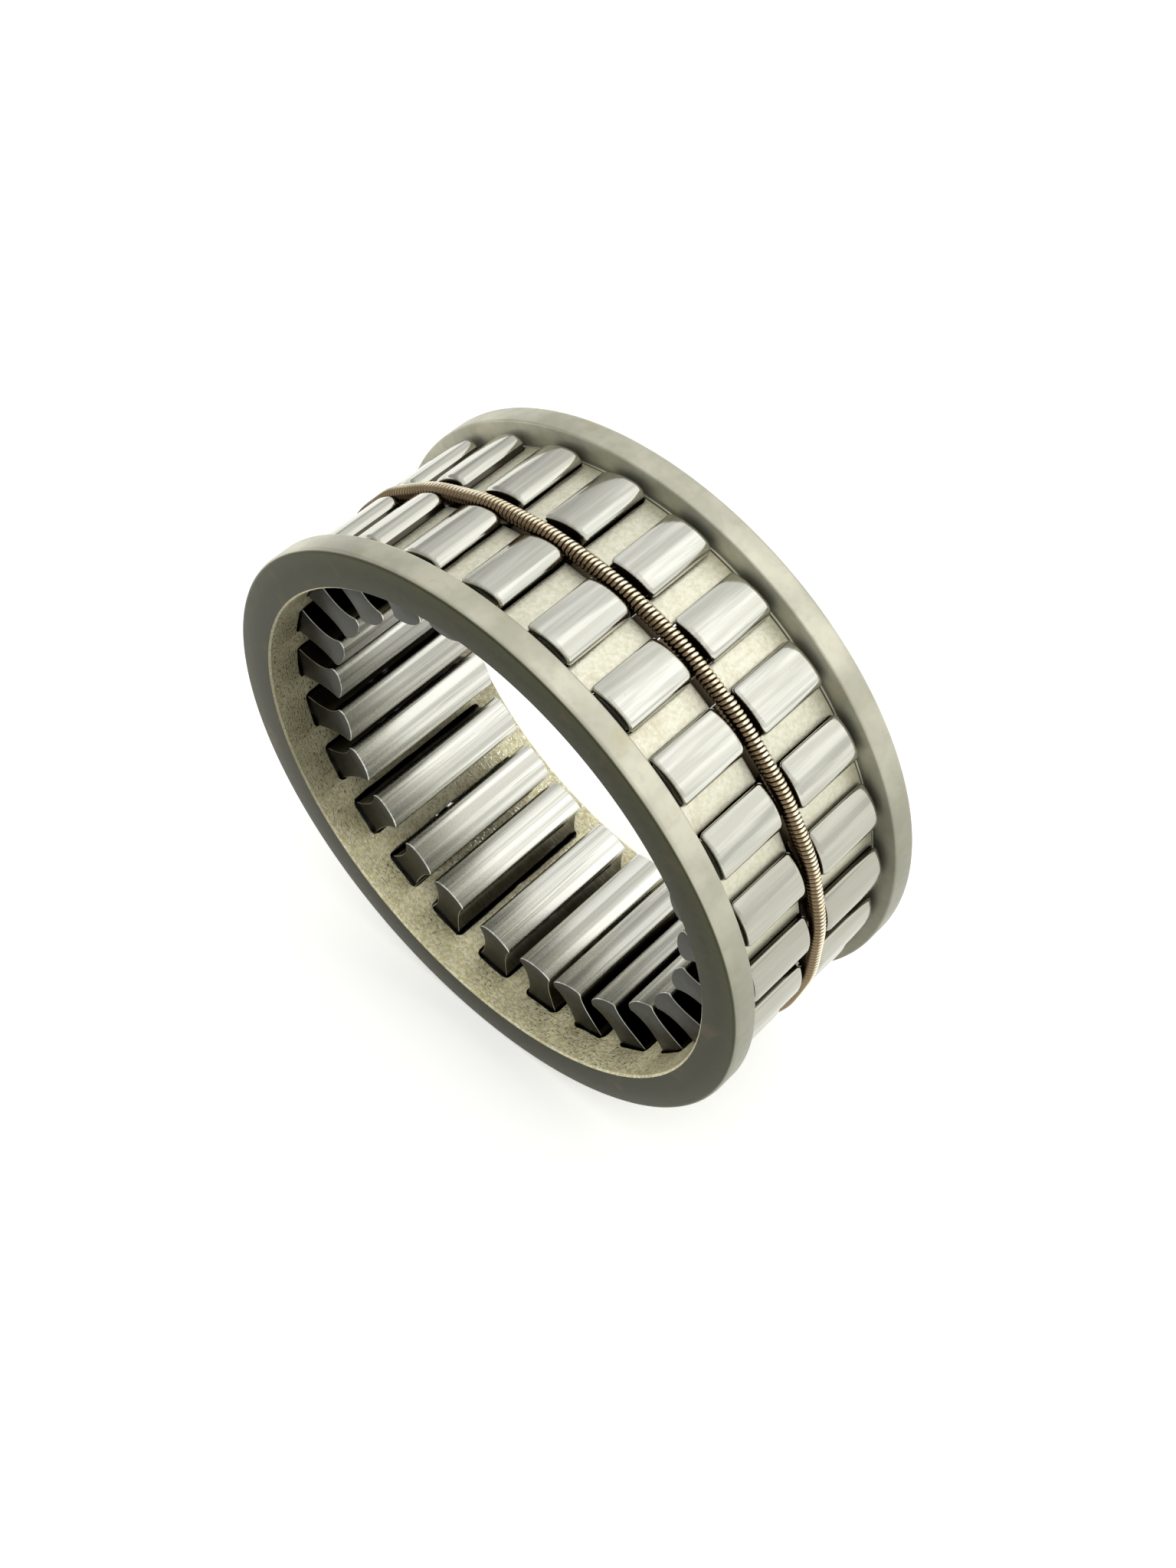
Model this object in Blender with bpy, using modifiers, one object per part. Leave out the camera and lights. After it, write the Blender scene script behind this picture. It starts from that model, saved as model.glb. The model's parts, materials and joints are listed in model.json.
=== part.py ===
"""One-way sprag clutch insert: a turned steel cage, tilting sprags and an endless garter spring.

Metres, +Z up. The ring stands on its two rims with its axis along Y and its centre at the origin.
Each piece is made about the local Z axis of the ring, and the ring_axis empty turns that axis to Y.
"""

import math

import bmesh
import bpy
import numpy as np
from mathutils import Matrix

MM = 0.001
SAME_POINT = 0.001 * MM
SHARP_EDGE = math.radians(30)

# Cage: two rims joined by a thin band with one window for each sprag.
RIM_OUTER_RADIUS = 32.5 * MM
RIM_DEPTH = 4.15 * MM
RIM_THICKNESS = 2.7 * MM
CAGE_WIDTH = 25.4 * MM
BAND_WALL = 1.75 * MM
BORE_EDGE_BREAK = 0.45 * MM
RIM_EDGE_BREAK = 0.2 * MM
RIM_ROOT_FILLET = 0.25 * MM
CAGE_STEPS = 100

# Windows, the bars left between them and the ledge left between window and rim. The windows, and with
# them the sprags and the spring, lie a little off the middle of the cage, nearer its far rim.
FIRST_WINDOW_ANGLE = math.radians(5.53)
WINDOW_WIDTH = 4.6 * MM
LEAST_BAR_WIDTH = 2.6 * MM
WINDOW_LEDGE = 0.65 * MM
WINDOWS_OFF_MIDDLE = 0.25 * MM
WINDOW_CORNER_RADIUS = 0.6 * MM
WINDOW_CORNER_STEPS = 2

# Sprag: a crowned head, a neck that fills its window, a waist and a foot with a curved sole.
SPRAG_HEIGHT = 9.1 * MM
SPRAG_END_GAP = 0.25 * MM
NECK_SIDE_GAP = 0.4 * MM
HEAD_ABOVE_BAND = 0.5 * MM
HEAD_OVERHANG = 0.5 * MM
HEAD_SIDE = 0.1 * MM
CROWN_HEIGHT = 0.8 * MM
SHOULDER_ROUNDING = 0.5 * MM
WAIST_DEPTH = 0.25 * MM
WAIST_ROUNDING = 2.5 * MM
FOOT_SIDE = 0.35 * MM
SOLE_ROUNDING = 6.0 * MM
HEEL_ROUNDING = 0.9 * MM
TOE_ROUNDING = 0.35 * MM
CORNER_STEPS = 2
FACE_STEPS = 4

# Each sprag leans its foot towards the falling angle. A foot is as wide as its neighbours let it be:
# with one sprag at its most lean and the next at its least, the rounded heel still clears the toe.
LEAST_LEAN = math.radians(0.5)
LEAN_SPAN = math.radians(12.7)
FOOT_GAP = 0.15 * MM
# Where each sprag lies at rest, in tenths of the way from least to most lean, in turn round the ring.
REST_LEANS = (4, 7, 3, 6, 7, 3, 8, 4, 7, 3, 7, 5, 7, 4, 8, 6, 3, 9, 1, 1, 9, 10, 2, 7, 4)

# Garter spring and the groove that it runs in, round the sprags and round the band.
SPRING_CURLS = 75
POINTS_A_CURL = 8
CURL_RADIUS = 0.475 * MM
WIRE_RADIUS = 0.2 * MM
SPRING_BELOW_CREST = 0.6 * MM
GROOVE_SIDE_GAP = 0.6 * MM
SPRAG_GROOVE_GAP = 0.75 * MM
BAND_GROOVE_DEPTH = 0.6 * MM

HALF_WIDTH = CAGE_WIDTH / 2
RIM_WALL_Z = HALF_WIDTH - RIM_THICKNESS
BORE_RADIUS = RIM_OUTER_RADIUS - RIM_DEPTH
BAND_RADIUS = BORE_RADIUS + BAND_WALL
PIVOT_RADIUS = BORE_RADIUS + BAND_WALL / 2
SPRAG_COUNT = int(math.tau * PIVOT_RADIUS / (WINDOW_WIDTH + LEAST_BAR_WIDTH))
SPRAG_PITCH = math.tau / SPRAG_COUNT
WINDOW_LENGTH = 2 * (RIM_WALL_Z - WINDOW_LEDGE)
SPRAG_MIDDLE_Z = -WINDOWS_OFF_MIDDLE
SPRAG_LENGTH = WINDOW_LENGTH - 2 * SPRAG_END_GAP
HEAD_RADIUS = BAND_RADIUS + HEAD_ABOVE_BAND
CREST_RADIUS = HEAD_RADIUS + HEAD_SIDE + CROWN_HEIGHT
SOLE_RADIUS = CREST_RADIUS - SPRAG_HEIGHT
NECK_WIDTH = WINDOW_WIDTH - 2 * NECK_SIDE_GAP
HEAD_WIDTH = NECK_WIDTH + 2 * HEAD_OVERHANG
FOOT_SWING = (PIVOT_RADIUS - SOLE_RADIUS) * math.sin(LEAN_SPAN)
FOOT_PITCH = SPRAG_PITCH * (SOLE_RADIUS + HEEL_ROUNDING)
FOOT_WIDTH = FOOT_PITCH - FOOT_SWING + HEEL_ROUNDING / 2 - FOOT_GAP
COIL_RADIUS = CURL_RADIUS + WIRE_RADIUS
SPRING_RADIUS = CREST_RADIUS - SPRING_BELOW_CREST
GROOVE_WIDTH = 2 * (COIL_RADIUS + GROOVE_SIDE_GAP)
SPRAG_GROOVE_RADIUS = SPRING_RADIUS - COIL_RADIUS - SPRAG_GROOVE_GAP


def clear_scene():
    for obj in list(bpy.data.objects):
        bpy.data.objects.remove(obj, do_unlink=True)


def new_collection(name):
    made = bpy.data.collections.new(name)
    bpy.context.scene.collection.children.link(made)
    return made


def new_object(name, data, collection, parent=None):
    obj = bpy.data.objects.new(name, data)
    collection.objects.link(obj)
    obj.parent = parent
    return obj


def metal(name, colour, roughness):
    made = bpy.data.materials.new(name)
    made.use_nodes = True
    shader = made.node_tree.nodes["Principled BSDF"]
    shader.inputs["Base Color"].default_value = (*colour, 1.0)
    shader.inputs["Roughness"].default_value = roughness
    shader.inputs["Metallic"].default_value = 1.0
    return made


def window_angle(index):
    return FIRST_WINDOW_ANGLE + index * SPRAG_PITCH


def hide_helper(obj):
    obj.hide_render = True
    obj.display_type = "WIRE"


def cut(obj, cutter):
    boolean = obj.modifiers.new("cut_" + cutter.name, "BOOLEAN")
    boolean.operation = "DIFFERENCE"
    boolean.solver = "EXACT"
    boolean.object = cutter


def evaluated_mesh(obj):
    bpy.context.view_layer.update()
    graph = bpy.context.evaluated_depsgraph_get()
    return bpy.data.meshes.new_from_object(obj.evaluated_get(graph))


def weld(mesh):
    shape = bmesh.new()
    shape.from_mesh(mesh)
    bmesh.ops.remove_doubles(shape, verts=shape.verts, dist=SAME_POINT)
    shape.to_mesh(mesh)
    shape.free()


def shade(mesh):
    mesh.shade_smooth()
    mesh.set_sharp_from_angle(angle=SHARP_EDGE)


def cage_section():
    """The ring's cross-section as (radius, height): down its outer side, then up its bore."""
    groove_floor = BAND_RADIUS - BAND_GROOVE_DEPTH
    groove_near = SPRAG_MIDDLE_Z + GROOVE_WIDTH / 2
    groove_far = SPRAG_MIDDLE_Z - GROOVE_WIDTH / 2
    near_rim = [
        (BORE_RADIUS + BORE_EDGE_BREAK, HALF_WIDTH),
        (RIM_OUTER_RADIUS - RIM_EDGE_BREAK, HALF_WIDTH),
        (RIM_OUTER_RADIUS, HALF_WIDTH - RIM_EDGE_BREAK),
        (RIM_OUTER_RADIUS, RIM_WALL_Z + RIM_EDGE_BREAK),
        (RIM_OUTER_RADIUS - RIM_EDGE_BREAK, RIM_WALL_Z),
        (BAND_RADIUS + RIM_ROOT_FILLET, RIM_WALL_Z),
        (BAND_RADIUS, RIM_WALL_Z - RIM_ROOT_FILLET),
    ]
    groove = [
        (BAND_RADIUS, groove_near),
        (groove_floor, groove_near),
        (groove_floor, groove_far),
        (BAND_RADIUS, groove_far),
    ]
    far_rim = [(radius, -height) for radius, height in reversed(near_rim)]
    bore = [(BORE_RADIUS, BORE_EDGE_BREAK - HALF_WIDTH), (BORE_RADIUS, HALF_WIDTH - BORE_EDGE_BREAK)]
    return near_rim + groove + far_rim + bore


def make_window_cutters(collection, axis):
    """One rounded block for each window, all in one mesh, reaching well past the band on both sides."""
    depth = 4 * BAND_WALL
    block = bmesh.new()
    bmesh.ops.create_cube(block, size=1, matrix=Matrix.Diagonal((depth, WINDOW_WIDTH, WINDOW_LENGTH, 1)))
    corners = [edge for edge in block.edges if abs(edge.verts[0].co.x - edge.verts[1].co.x) > depth / 2]
    bmesh.ops.bevel(
        block,
        geom=corners,
        offset=WINDOW_CORNER_RADIUS,
        segments=WINDOW_CORNER_STEPS,
        profile=0.5,
        affect="EDGES",
    )
    bmesh.ops.translate(block, verts=block.verts, vec=(PIVOT_RADIUS, 0, SPRAG_MIDDLE_Z))
    one = bpy.data.meshes.new("window_block")
    all_blocks = bmesh.new()
    for index in range(SPRAG_COUNT):
        turned = block.copy()
        bmesh.ops.transform(turned, verts=turned.verts, matrix=Matrix.Rotation(window_angle(index), 4, "Z"))
        turned.to_mesh(one)
        turned.free()
        all_blocks.from_mesh(one)
    mesh = bpy.data.meshes.new("window_cutters")
    all_blocks.to_mesh(mesh)
    block.free()
    all_blocks.free()
    bpy.data.meshes.remove(one)
    cutters = new_object("window_cutters", mesh, collection, axis)
    hide_helper(cutters)
    return cutters


def make_cage(collection, axis, window_cutters):
    section = cage_section()
    count = len(section)
    mesh = bpy.data.meshes.new("sprag_cage")
    points = [(radius, 0, height) for radius, height in section]
    mesh.from_pydata(points, [(i, (i + 1) % count) for i in range(count)], [])
    cage = new_object("sprag_cage", mesh, collection, axis)
    turn = cage.modifiers.new("turned_ring", "SCREW")
    turn.axis = "Z"
    turn.steps = CAGE_STEPS
    turn.render_steps = CAGE_STEPS
    turn.use_merge_vertices = True
    turn.merge_threshold = SAME_POINT
    turn.use_smooth_shade = False
    cut(cage, window_cutters)
    mesh.materials.append(metal("cage_steel", (0.42, 0.41, 0.35), 0.42))
    return cage


def arc(middle, radius, start, end, steps):
    """Points along an arc, both ends included."""
    x, y = middle
    angles = [start + (end - start) * step / steps for step in range(steps + 1)]
    return [(x + radius * math.cos(angle), y + radius * math.sin(angle)) for angle in angles]


def rounded_end(tip, half_width, rounding, first, last):
    """One end of a sprag, from its +y side round to its -y side: a curved face and two corners."""

    def corner(corner_rounding):
        across = half_width - corner_rounding
        along = math.sqrt((rounding - corner_rounding) ** 2 - across**2)
        return along, across, math.atan2(across, along)

    middle = tip - rounding
    along_first, across_first, swing_first = corner(first)
    along_last, across_last, swing_last = corner(last)
    quarter = math.pi / 2
    points = arc((middle + along_first, across_first), first, quarter, swing_first, CORNER_STEPS)
    points += arc((middle, 0), rounding, swing_first, -swing_last, FACE_STEPS)[1:-1]
    points += arc((middle + along_last, -across_last), last, -swing_last, -quarter, CORNER_STEPS)
    return points


def crown_rounding():
    """The radius of the arc that is CROWN_HEIGHT tall and runs into both shoulder roundings."""
    across = HEAD_WIDTH / 2 - SHOULDER_ROUNDING
    tall = CROWN_HEIGHT - SHOULDER_ROUNDING
    return (CROWN_HEIGHT**2 + across**2 - SHOULDER_ROUNDING**2) / (2 * tall)


def sprag_outline():
    """Points about the rocking axis: x runs out along the ring's radius, y along its circumference."""
    neck = NECK_WIDTH / 2
    foot = FOOT_WIDTH / 2
    crest = CREST_RADIUS - PIVOT_RADIUS
    crown = rounded_end(crest, HEAD_WIDTH / 2, crown_rounding(), SHOULDER_ROUNDING, SHOULDER_ROUNDING)
    sole = rounded_end(PIVOT_RADIUS - SOLE_RADIUS, foot, SOLE_ROUNDING, HEEL_ROUNDING, TOE_ROUNDING)
    sole = [(-x, -y) for x, y in sole]
    ankle = max(x for x, y in sole) + FOOT_SIDE
    to_neck = WAIST_ROUNDING - WAIST_DEPTH
    to_foot = to_neck - (foot - neck)
    waist = (ankle + math.sqrt(WAIST_ROUNDING**2 - to_foot**2), -neck - to_neck)
    bend_start = math.asin(to_neck / WAIST_ROUNDING)
    bend_end = math.pi - math.asin(to_foot / WAIST_ROUNDING)
    bend = arc(waist, WAIST_ROUNDING, bend_start, bend_end, FACE_STEPS)
    down_side = [(HEAD_RADIUS - PIVOT_RADIUS, -neck)] + bend
    up_side = [(x, -y) for x, y in reversed(down_side)]
    return crown + down_side + sole + up_side


def make_groove_cutter(collection):
    """The block that cuts the spring's groove across a sprag's head."""
    depth = CREST_RADIUS - SPRAG_GROOVE_RADIUS
    shape = bmesh.new()
    sides = (2 * depth, 2 * NECK_WIDTH, GROOVE_WIDTH, 1)
    bmesh.ops.create_cube(shape, size=1, matrix=Matrix.Diagonal(sides))
    mesh = bpy.data.meshes.new("groove_cutter")
    shape.to_mesh(mesh)
    shape.free()
    cutter = new_object("groove_cutter", mesh, collection)
    cutter.location = (SPRAG_GROOVE_RADIUS + depth - PIVOT_RADIUS, 0, 0)
    hide_helper(cutter)
    return cutter


def make_sprag_mesh(collection, groove_cutter):
    """The outline drawn out to the sprag's length, with the spring's groove cut across the head."""
    outline = sprag_outline()
    curve = bpy.data.curves.new("sprag_outline", "CURVE")
    curve.dimensions = "2D"
    curve.fill_mode = "BOTH"
    curve.extrude = SPRAG_LENGTH / 2
    spline = curve.splines.new("POLY")
    spline.points.add(len(outline) - 1)
    for point, (x, y) in zip(spline.points, outline):
        point.co = (x, y, 0, 1)
    spline.use_cyclic_u = True
    drawn = new_object("sprag_outline", curve, collection)
    blank = new_object("sprag_blank", evaluated_mesh(drawn), collection)
    blank.matrix_world = drawn.matrix_world
    bpy.data.objects.remove(drawn)
    weld(blank.data)
    cut(blank, groove_cutter)
    mesh = evaluated_mesh(blank)
    bpy.data.objects.remove(blank)
    mesh.name = "sprag"
    mesh.materials.clear()
    mesh.materials.append(metal("sprag_steel", (0.64, 0.64, 0.62), 0.2))
    shade(mesh)
    return mesh


def make_sprags(collection, axis, mesh):
    """Each sprag has its origin on the line that it rocks about, in the middle of its window."""
    for index in range(SPRAG_COUNT):
        angle = window_angle(index)
        lean = LEAST_LEAN + LEAN_SPAN * REST_LEANS[index % len(REST_LEANS)] / 10
        sprag = new_object(f"sprag_{index + 1:02d}", mesh, collection, axis)
        sprag.location = (PIVOT_RADIUS * math.cos(angle), PIVOT_RADIUS * math.sin(angle), SPRAG_MIDDLE_Z)
        sprag.rotation_euler = (0, 0, angle + lean)


def spring_points():
    """The wire's centre line: a helix bent round the ring until its end meets its start."""
    total = SPRING_CURLS * POINTS_A_CURL
    for step in range(total):
        round_ring = math.tau * step / total
        round_curl = math.tau * step / POINTS_A_CURL
        radius = SPRING_RADIUS + CURL_RADIUS * math.cos(round_curl)
        height = SPRAG_MIDDLE_Z + CURL_RADIUS * math.sin(round_curl)
        yield radius * math.cos(round_ring), radius * math.sin(round_ring), height


def least_gap(points):
    """The narrowest space between parts of the wire that are half a curl or more apart along it."""
    place = np.array(points)
    apart = np.linalg.norm(place[:, None] - place[None], axis=2)
    along = np.abs(np.arange(len(place))[:, None] - np.arange(len(place))[None])
    along = np.minimum(along, len(place) - along)
    return apart[along >= POINTS_A_CURL // 2].min() - 2 * WIRE_RADIUS


def make_garter_spring(collection, axis):
    points = list(spring_points())
    curve = bpy.data.curves.new("garter_spring", "CURVE")
    curve.dimensions = "3D"
    curve.bevel_depth = WIRE_RADIUS
    curve.bevel_resolution = 1
    spline = curve.splines.new("POLY")
    spline.points.add(len(points) - 1)
    for point, place in zip(spline.points, points):
        point.co = (*place, 1)
    spline.use_cyclic_u = True
    spline.use_smooth = True
    curve.materials.append(metal("spring_bronze", (0.46, 0.30, 0.18), 0.38))
    print(f"garter spring: least gap to itself {least_gap(points) / MM:.2f} mm")
    return new_object("garter_spring", curve, collection, axis)


def main():
    clear_scene()
    parts = new_collection("sprag_clutch_insert")
    helpers = new_collection("cutters")
    helpers.hide_render = True
    axis = new_object("ring_axis", None, parts)
    axis.rotation_euler = (math.pi / 2, 0, 0)
    make_cage(parts, axis, make_window_cutters(helpers, axis))
    make_sprags(parts, axis, make_sprag_mesh(helpers, make_groove_cutter(helpers)))
    make_garter_spring(parts, axis)


main()
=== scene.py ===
"""Looks of the sprag clutch insert: finer meshes for its pieces, their metal finishes and the studio.

Metres, +Z up. A piece is made about the local Z axis of the ring, and RING_TO_PART turns that axis to Y.
"""

import json
import math

import bmesh
import bpy
import numpy as np
from mathutils import Matrix, Vector


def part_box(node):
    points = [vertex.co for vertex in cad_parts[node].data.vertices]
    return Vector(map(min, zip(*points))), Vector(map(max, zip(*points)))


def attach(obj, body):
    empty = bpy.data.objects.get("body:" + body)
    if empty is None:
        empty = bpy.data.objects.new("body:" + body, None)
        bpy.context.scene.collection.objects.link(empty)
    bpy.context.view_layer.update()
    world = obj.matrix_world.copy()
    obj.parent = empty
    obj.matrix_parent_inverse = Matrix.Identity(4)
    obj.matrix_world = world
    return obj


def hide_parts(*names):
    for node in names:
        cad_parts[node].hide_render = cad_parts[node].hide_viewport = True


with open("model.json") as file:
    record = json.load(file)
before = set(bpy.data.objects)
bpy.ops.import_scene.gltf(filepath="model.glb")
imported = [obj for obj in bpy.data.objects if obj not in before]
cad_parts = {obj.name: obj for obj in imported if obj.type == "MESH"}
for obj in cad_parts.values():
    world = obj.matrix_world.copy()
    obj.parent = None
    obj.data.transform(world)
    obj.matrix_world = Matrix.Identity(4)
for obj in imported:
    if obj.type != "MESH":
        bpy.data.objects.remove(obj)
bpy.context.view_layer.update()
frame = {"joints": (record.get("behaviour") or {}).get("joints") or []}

MM = 0.001
SAME_POINT = 0.0001 * MM
SOFT_EDGE = math.radians(32)
RING_TO_PART = Matrix.Rotation(math.pi / 2, 4, "X")

# Cage
CAGE_LOW, CAGE_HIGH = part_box("sprag_cage")
RIM_RADIUS = (CAGE_HIGH.x - CAGE_LOW.x) / 2
HALF_WIDTH = (CAGE_HIGH.y - CAGE_LOW.y) / 2
BORE_RADIUS = RIM_RADIUS - 4.15 * MM
BAND_RADIUS = BORE_RADIUS + 1.75 * MM
RIM_WALL = HALF_WIDTH - 2.7 * MM
BORE_BREAK = 0.2 * MM
BREAK_ROUNDING = 0.06 * MM
RIM_ROUNDING = 0.24 * MM
RIM_END_ROUNDING = 0.5 * MM
ROOT_ROUNDING = 0.14 * MM
ROOT_RELIEF_WIDTH = 0.45 * MM
ROOT_RELIEF_DEPTH = 0.3 * MM
BAR_END_ROUNDING = 0.2 * MM
BAND_GROOVE_HALF = 1.1 * MM
BAND_GROOVE_DEPTH = 0.75 * MM
CAGE_STEPS = 360
ROUNDING_STEPS = 4

# Windows. An edge's rounding is cut in two flats that meet EDGE_HALF_WAY of its width in.
WINDOW_WIDTH = 4.6 * MM
WINDOW_LENGTH = 2 * (RIM_WALL - 0.65 * MM)
WINDOW_CORNER = 0.6 * MM
WINDOW_EDGE = 0.1 * MM
EDGE_HALF_WAY = 0.29
EDGE_RUN = 1.5 * MM
FEWEST_RUNS = 3
WINDOW_RAGGED = 0.035 * MM
RAGGED_SEED = 5
CUTTER_REACH = 1.2 * MM
CUTTER_LIP = 0.01 * MM
WINDOW_MIDDLE = -frame["joints"][0]["pos_m"][1]

# Sprags, measured from the rocking axis: pairs are (out along the radius, across).
LEAST_LEAN = math.radians(0.5)
GROOVE_FLOOR = 0.25 * MM
PIVOT_RADIUS = (BORE_RADIUS + BAND_RADIUS) / 2
SPRAG_LENGTH = WINDOW_LENGTH - 0.5 * MM
NECK_HALF = WINDOW_WIDTH / 2 - 0.4 * MM
NECK_WIDE_HALF = NECK_HALF + 0.2 * MM
NECK_BULGE = ((GROOVE_FLOOR, 2.155 * MM), (0.0, 2.17 * MM), (-0.5 * MM, 2.12 * MM))
HEAD_HALF = NECK_HALF + 0.6 * MM
HEAD_OFF_MIDDLE = -0.1 * MM
FOOT_HALF = 2.15 * MM
HEAD_UNDERSIDE = BAND_RADIUS + 0.5 * MM - PIVOT_RADIUS
LIFTING_UNDERSIDE = HEAD_UNDERSIDE - 0.44 * MM
CREST = HEAD_UNDERSIDE + 0.9 * MM
SOLE = CREST - 9.35 * MM
SOLE_OFF_MIDDLE = 0.3 * MM
SOLE_TILT = math.radians(10)
CROWN_ROUNDING = 6.0 * MM
SHOULDER_ROUNDING = 0.35 * MM
LIFTING_SHOULDER_ROUNDING = 1.1 * MM
NECK_END = -1.0 * MM
HOLLOW_START = -NECK_HALF - 0.05 * MM
HOLLOW_PULL = ((-2.9 * MM, -1.1 * MM), (-5.0 * MM, -0.95 * MM))
STRAIGHT_PULL = ((-2.6 * MM, 1.9 * MM), (-4.6 * MM, 1.6 * MM))
SOLE_ROUNDING = 4.2 * MM
HEEL_ROUNDING = 1.0 * MM
TOE_ROUNDING = 0.45 * MM
END_ROUNDING = 0.16 * MM
HEAD_END_ROUNDING = 0.45 * MM
CREST_SHARE = 0.7
GROOVE_HALF = 1.2 * MM
GROOVE_ROUNDING = 0.28 * MM
GROOVE_ROUNDING_LENGTH = 2 * GROOVE_ROUNDING
CORNER_STEPS = 6
FACE_STEPS = 14

# Garter spring. It sways twice and ripples RIPPLE_COUNT times along the axis on its way round.
SPRING_RADIUS = 30.97 * MM
SPRING_TURNS = 415
POINTS_A_TURN = 12
COIL_RADIUS = 0.59 * MM
WIRE_RADIUS = 0.23 * MM
WIRE_STEPS = 2
SPRING_SAG = 0.1 * MM
SPRING_SHIFT = 0.09 * MM
SPRING_SWAY = 0.24 * MM
SWAY_START = 0.35
SPRING_RIPPLE = 0.03 * MM
RIPPLE_COUNT = 8
RIPPLE_START = 2.0

# Painted shade on each sprag's foot and how much darker its head is made, in tenths, in turn round the ring.
FEET_PAINTED_SHADE = (0, 0, 0, 0, 0, 0, 0, 2, 5, 7, 8, 8, 7, 4, 1, 0, 0, 0, 0, 0, 1, 2, 3, 3, 2)
HEADS_DARKENED = (8, 6, 3, 1, 0, 0, 1, 2, 3, 3, 2, 0, 0, 0, 0, 0, 0, 0, 0, 0, 0, 2, 4, 6, 7)

# Studio
BRIGHT_SIDE = Vector((0.5, 0.45, 0.74))
TABLE_HALF = 3.0
CAMERA_SENSOR = 36.0
CAMERA_LENS = 48.2
CAMERA_NEAREST = 0.005
CAMERA_PLACE = (0.0878, -0.0916, 0.1603)
CAMERA_LOOK = Vector((-0.4170, 0.4505, -0.7895))


class Value:
    """A shader socket in Python arithmetic: each operator adds one Math node."""

    def __init__(self, finish, socket):
        self.finish = finish
        self.socket = socket

    def math(self, operation, *inputs):
        sockets = dict(enumerate(inputs))
        return self.finish.node("ShaderNodeMath", {"operation": operation}, sockets)["Value"]

    def __add__(self, other):
        return self.math("ADD", self, other)

    def __sub__(self, other):
        return self.math("SUBTRACT", self, other)

    def __rsub__(self, other):
        return self.math("SUBTRACT", other, self)

    def __mul__(self, other):
        return self.math("MULTIPLY", self, other)

    def __truediv__(self, other):
        return self.math("DIVIDE", self, other)

    def __pow__(self, other):
        return self.math("POWER", self, other)

    def __abs__(self):
        return self.math("ABSOLUTE", self)

    __radd__ = __add__


class Finish:
    """A node tree under construction, for a material or the world."""

    def __init__(self, tree):
        self.tree = tree

    def node(self, kind, settings=None, sockets=None):
        """Adds a node, sets its settings and then its sockets, and gives its outputs by name."""
        made = self.tree.nodes.new(kind)
        for name, setting in (settings or {}).items():
            setattr(made, name, setting)
        for name, content in (sockets or {}).items():
            self.feed(made.inputs[name], content)
        return {output.name: Value(self, output) for output in made.outputs if output.enabled}

    def feed(self, socket, content):
        if isinstance(content, Value):
            self.tree.links.new(content.socket, socket)
        else:
            socket.default_value = content

    def step(self, value, low, high):
        """0 below low, 1 above high, with a smooth change between them."""
        sockets = {"Value": value, "From Min": low, "From Max": high}
        return self.node("ShaderNodeMapRange", {"interpolation_type": "SMOOTHSTEP"}, sockets)["Result"]

    def mix(self, first, second, share):
        """The first colour where share is 0 and the second where it is 1.

        The sockets go by number, because the node has others with the same names.
        """
        sockets = {0: share, 6: first, 7: second}
        return self.node("ShaderNodeMix", {"data_type": "RGBA"}, sockets)["Result"]

    def noise(self, place, size, detail=3.0, roughness=0.55):
        """Grains of about that size, in metres, as a value round a half."""
        sockets = {"Vector": place, "Scale": 1 / size, "Detail": detail, "Roughness": roughness}
        return self.node("ShaderNodeTexNoise", {}, sockets)["Fac"]

    def lines(self, along, pitch):
        """Uneven lines across a distance, about that far apart."""
        sockets = {"W": along / pitch, "Scale": 1.0, "Detail": 2.0, "Roughness": 0.7}
        return self.node("ShaderNodeTexNoise", {"noise_dimensions": "1D"}, sockets)["Fac"]

    def stretched(self, place, across):
        """The same place with its sides scaled, for grain that is longer one way than the other."""
        sockets = {0: place, 1: across}
        return self.node("ShaderNodeVectorMath", {"operation": "MULTIPLY"}, sockets)["Vector"]

    def shifted(self, place, amount):
        sockets = {0: place, 1: amount}
        return self.node("ShaderNodeVectorMath", {"operation": "ADD"}, sockets)["Vector"]

    def parts(self, vector):
        split = self.node("ShaderNodeSeparateXYZ", {}, {"Vector": vector})
        return split["X"], split["Y"], split["Z"]

    def bump(self, height, depth):
        sockets = {"Height": height, "Distance": depth, "Strength": 1.0}
        return self.node("ShaderNodeBump", {}, sockets)["Normal"]


def colour(red, green, blue):
    return (red, green, blue, 1.0)


# Colours: cage
RIM_GREY = colour(0.47, 0.46, 0.375)
RIM_PALE = colour(0.61, 0.595, 0.485)
RIM_STAIN = colour(0.45, 0.39, 0.23)
RIM_MOTTLE = colour(0.42, 0.41, 0.33)
# Painted shade towards the bottom of the rims.
RIM_PAINTED_LOW_SHADE = colour(0.22, 0.22, 0.17)
BAR_SAND = colour(0.70, 0.675, 0.54)
BAR_PALE = colour(0.80, 0.78, 0.65)
BAR_GRAIN = colour(0.88, 0.86, 0.74)
BAR_STAIN = colour(0.52, 0.46, 0.29)
# Painted shade towards the bottom of the bars.
BAR_PAINTED_LOW_SHADE = colour(0.50, 0.48, 0.37)
# Painted shade: the end faces, lighter towards the outside of the rim.
FACE_PAINTED_SHADE = colour(0.023, 0.0235, 0.009)
FACE_PAINTED_SHADE_GREY = colour(0.036, 0.0365, 0.016)
FACE_PAINTED_SHADE_EDGE = colour(0.070, 0.070, 0.040)
FACE_STAIN = colour(0.075, 0.055, 0.022)
FACE_GRAIN = colour(0.12, 0.115, 0.085)
BORE_BROWN = colour(0.70, 0.62, 0.33)
BORE_GOLD = colour(1.0, 0.94, 0.62)
BORE_STAIN = colour(0.42, 0.36, 0.18)
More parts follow.
